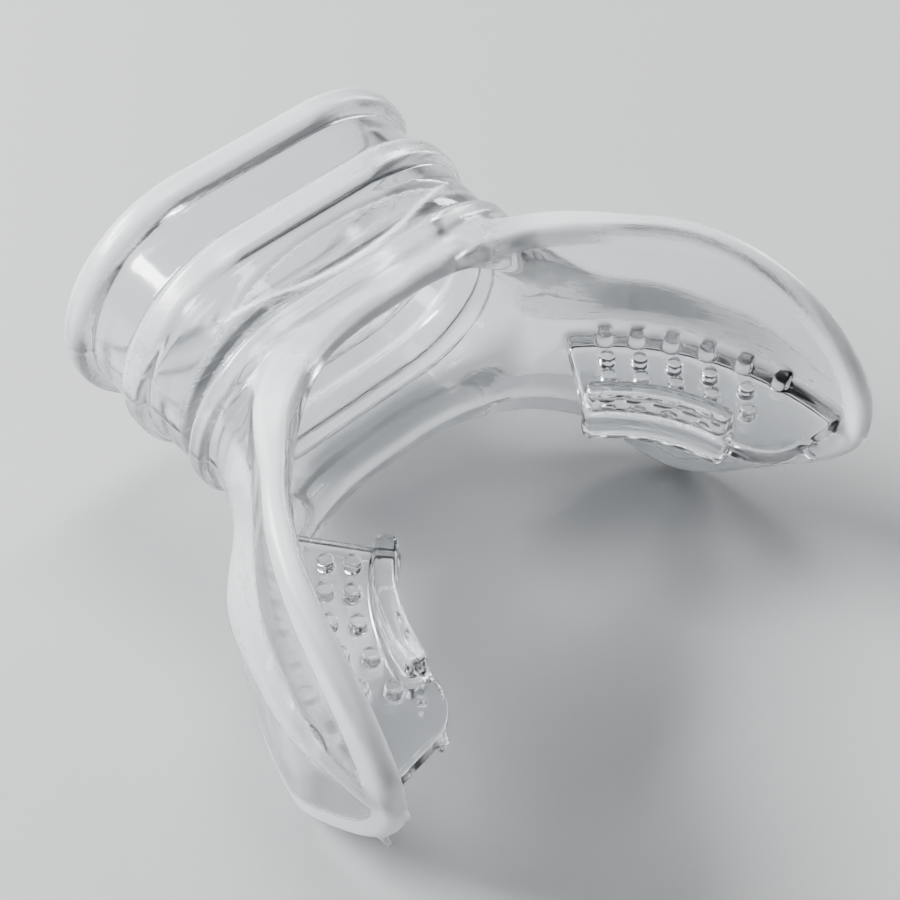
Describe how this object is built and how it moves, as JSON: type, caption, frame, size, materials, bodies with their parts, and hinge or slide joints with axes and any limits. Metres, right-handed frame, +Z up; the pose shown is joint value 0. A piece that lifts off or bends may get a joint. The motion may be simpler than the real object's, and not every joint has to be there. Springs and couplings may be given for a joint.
{
  "type": "scuba regulator mouthpiece",
  "caption": "Clear silicone diving mouthpiece: oval sleeve with beads and tie groove, curved lip flange with lobed wings, studded bite plates with ridges.",
  "frame": {"origin": "middle of the bounding box's underside, below the bite plates and the airway", "axes": "+X across the mouth, towards the wing called right, +Y from the mouth towards the regulator, +Z up, bite plates level"},
  "size_m": [0.0582, 0.0536, 0.0354],
  "materials": {
    "clear_silicone": "clear, glossy, faintly blue-white",
    "frosted_silicone": "clear silicone with a milky, satin skin on its rounded rims"
  },
  "bodies": {
    "sleeve_and_lip": {"end_bead": "frosted_silicone", "tie_groove_sleeve": "clear_silicone", "retaining_bead": "frosted_silicone", "neck": "clear_silicone", "neck_ridge": "frosted_silicone", "flange_centre": "clear_silicone"},
    "wing_right": {"flange_wing_right": "frosted_silicone", "bite_plate_right": "clear_silicone", "bite_ridge_upper_right": "clear_silicone", "bite_ridge_lower_right": "clear_silicone", "bite_studs_right": "clear_silicone"},
    "wing_left": {"flange_wing_left": "frosted_silicone", "bite_plate_left": "clear_silicone", "bite_ridge_upper_left": "clear_silicone", "bite_ridge_lower_left": "clear_silicone", "bite_studs_left": "clear_silicone"}
  },
  "joints": [
    {"name": "wing_flex_right", "type": "hinge", "parent": "sleeve_and_lip", "child": "wing_right", "pos_m": [0.01702, 0.00078, 0.01684], "axis": [0, 0, 1], "range_deg": [-8, 10], "stiffness_Nm_per_rad": 0.0066},
    {"name": "wing_flex_left", "type": "hinge", "parent": "sleeve_and_lip", "child": "wing_left", "pos_m": [-0.01702, 0.00078, 0.01684], "axis": [0, 0, -1], "range_deg": [-8, 10], "stiffness_Nm_per_rad": 0.0066}
  ]
}
